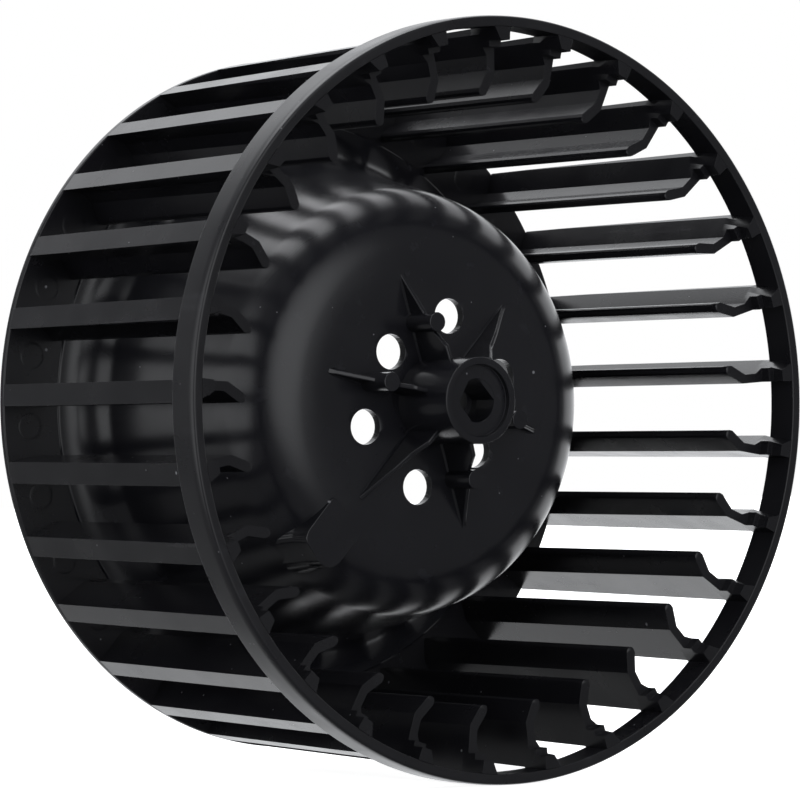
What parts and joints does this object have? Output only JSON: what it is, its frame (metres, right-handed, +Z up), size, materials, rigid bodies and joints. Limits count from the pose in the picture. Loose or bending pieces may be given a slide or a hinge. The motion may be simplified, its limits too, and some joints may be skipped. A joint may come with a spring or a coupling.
{
  "type": "blower motor wheel",
  "caption": "Forward-curved centrifugal blower wheel moulded in black plastic, with an open inlet ring, a domed motor cup and a ribbed hub on the shaft axis.",
  "frame": {"origin": "on the wheel's axis, half way between the inlet ring's front face and the back plate's rear face", "axes": "+Y along the axis from the inlet towards the back plate and the motor, +Z up"},
  "size_m": [0.14, 0.0694, 0.14],
  "materials": {
    "satin_black": "fine-grained satin",
    "polished_black": "smooth semi-gloss"
  },
  "bodies": {
    "root": {"front_ring": "satin_black", "back_plate": "satin_black", "blade_01": "satin_black", "blade_02": "satin_black", "blade_03": "satin_black", "blade_04": "satin_black", "blade_05": "satin_black", "blade_06": "satin_black", "blade_07": "satin_black", "blade_08": "satin_black", "blade_09": "satin_black", "blade_10": "satin_black", "blade_11": "satin_black", "blade_12": "satin_black", "blade_13": "satin_black", "blade_14": "satin_black", "blade_15": "satin_black", "blade_16": "satin_black", "blade_17": "satin_black", "blade_18": "satin_black", "blade_19": "satin_black", "blade_20": "satin_black", "blade_21": "satin_black", "blade_22": "satin_black", "blade_23": "satin_black", "blade_24": "satin_black", "blade_25": "satin_black", "blade_26": "satin_black", "blade_27": "satin_black", "blade_28": "satin_black", "blade_29": "satin_black", "motor_cup": "polished_black", "hub": "polished_black", "cup_pad": "polished_black", "hub_rib_1": "polished_black", "hub_rib_2": "polished_black", "hub_rib_3": "polished_black", "hub_rib_4": "polished_black", "hub_rib_5": "polished_black", "hub_rib_6": "polished_black"}
  },
  "joints": []
}
